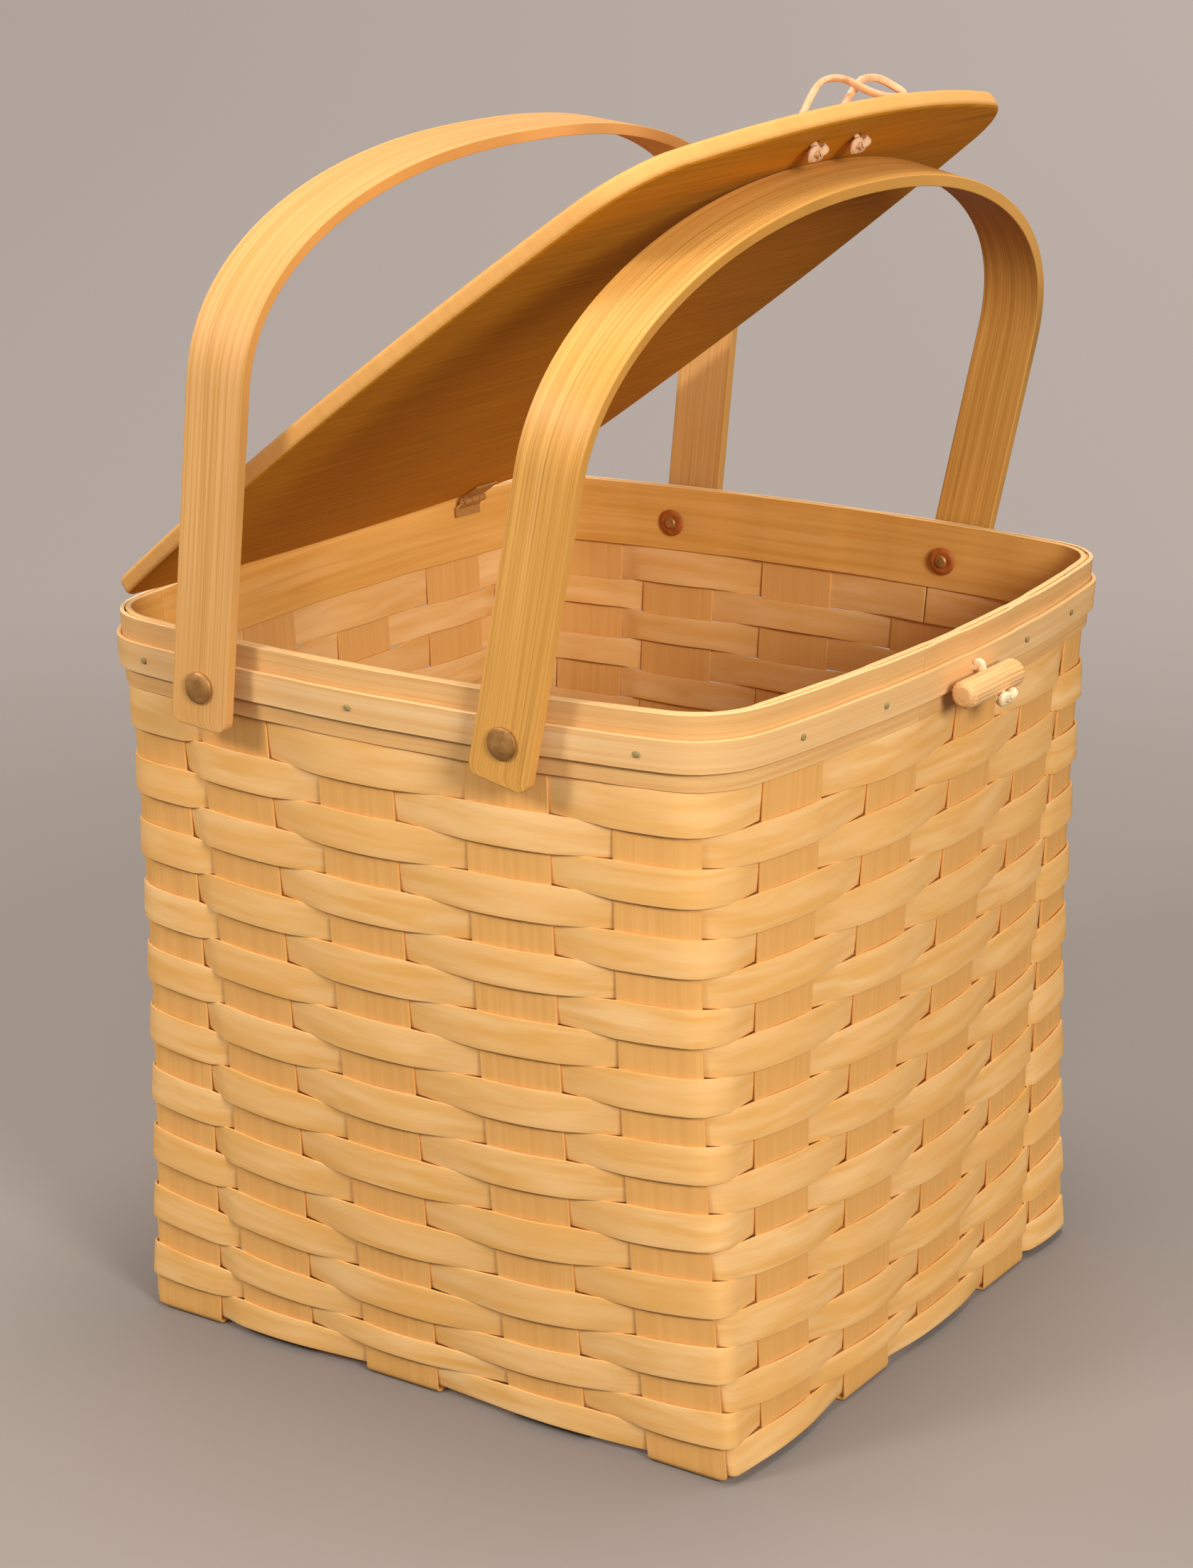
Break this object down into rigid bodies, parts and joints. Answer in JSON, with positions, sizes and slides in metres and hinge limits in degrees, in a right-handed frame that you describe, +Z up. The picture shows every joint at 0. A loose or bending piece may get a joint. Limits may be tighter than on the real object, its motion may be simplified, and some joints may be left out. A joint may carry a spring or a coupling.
{
  "type": "basket purse",
  "caption": "Square woven wood-splint basket purse with a hinged wooden lid, two bent swing handles, a wooden toggle peg and a leather loop.",
  "frame": {"origin": "middle of the basket's base, on the underside of the middle front-to-back splint", "axes": "+Z up; +X towards the lid's free end and the peg, -X towards the hinges; the handles' rivets are on the -Y and +Y walls"},
  "size_m": [0.2748, 0.2998, 0.4266],
  "materials": {
    "upright_wood": "satin",
    "weaver_wood": "satin",
    "rim_wood": "satin",
    "nailed_band_wood": "satin",
    "handle_wood": "satin",
    "lid_wood": "satin",
    "peg_wood": "satin",
    "rivet_copper": "satin",
    "burr_copper": "satin",
    "nail_metal": "satin",
    "hinge_brass": "satin",
    "loop_leather": "matte"
  },
  "bodies": {
    "basket": {"upright_front_back_1": "upright_wood", "upright_left_right_1": "upright_wood", "upright_front_back_2": "upright_wood", "upright_left_right_2": "upright_wood", "upright_front_back_3": "upright_wood", "upright_left_right_3": "upright_wood", "upright_front_back_4": "upright_wood", "upright_left_right_4": "upright_wood", "upright_front_back_5": "upright_wood", "upright_left_right_5": "upright_wood", "weaver_01": "weaver_wood", "weaver_02": "weaver_wood", "weaver_03": "weaver_wood", "weaver_04": "weaver_wood", "weaver_05": "weaver_wood", "weaver_06": "weaver_wood", "weaver_07": "weaver_wood", "weaver_08": "weaver_wood", "weaver_09": "weaver_wood", "weaver_10": "weaver_wood", "weaver_11": "weaver_wood", "weaver_12": "weaver_wood", "weaver_13": "weaver_wood", "weaver_14": "weaver_wood", "weaver_15": "weaver_wood", "weaver_16": "weaver_wood", "weaver_17": "weaver_wood", "weaver_18": "weaver_wood", "weaver_19": "weaver_wood", "weaver_20": "weaver_wood", "inner_rim_band": "rim_wood", "outer_rim_band": "rim_wood", "nailed_rim_band": "nailed_band_wood", "front_rivet_near": "rivet_copper", "front_burr_near": "burr_copper", "front_rivet_far": "rivet_copper", "front_burr_far": "burr_copper", "rear_rivet_near": "rivet_copper", "rear_burr_near": "burr_copper", "rear_rivet_far": "rivet_copper", "rear_burr_far": "burr_copper", "rim_nail_1": "nail_metal", "rim_nail_2": "nail_metal", "rim_nail_3": "nail_metal", "rim_nail_4": "nail_metal", "rim_nail_5": "nail_metal", "rim_nail_6": "nail_metal", "rim_nail_7": "nail_metal", "hinge_near_rim_leaf": "hinge_brass", "hinge_near_pin": "hinge_brass", "hinge_far_rim_leaf": "hinge_brass", "hinge_far_pin": "hinge_brass"},
    "lid": {"lid": "lid_wood", "hinge_near_lid_leaf": "hinge_brass", "hinge_far_lid_leaf": "hinge_brass", "loop_lace": "loop_leather"},
    "front_handle": {"front_handle": "handle_wood"},
    "rear_handle": {"rear_handle": "handle_wood"},
    "toggle": {"toggle_peg": "peg_wood", "toggle_lace": "loop_leather"}
  },
  "joints": [
    {"name": "lid_hinge", "type": "hinge", "parent": "basket", "child": "lid", "pos_m": [-0.1177, 0, 0.2535], "axis": [0, -1, 0], "range_deg": [-37.04, 0]},
    {"name": "front_handle_swing", "type": "hinge", "parent": "basket", "child": "front_handle", "pos_m": [0.0534, 0, 0.2416], "axis": [0, 1, 0], "range_deg": [0, 126]},
    {"name": "rear_handle_swing", "type": "hinge", "parent": "basket", "child": "rear_handle", "pos_m": [-0.062, 0, 0.2416], "axis": [0, -1, 0], "range_deg": [-8, 140]},
    {"name": "toggle_swing", "type": "hinge", "parent": "basket", "child": "toggle", "pos_m": [0.1314, 0.0065, 0.2425], "axis": [1, 0, 0], "range_deg": [-40, 40]}
  ],
  "couplings": [
    {"joint": "front_handle_swing", "follows": "lid_hinge", "ratio": -3.4}
  ]
}
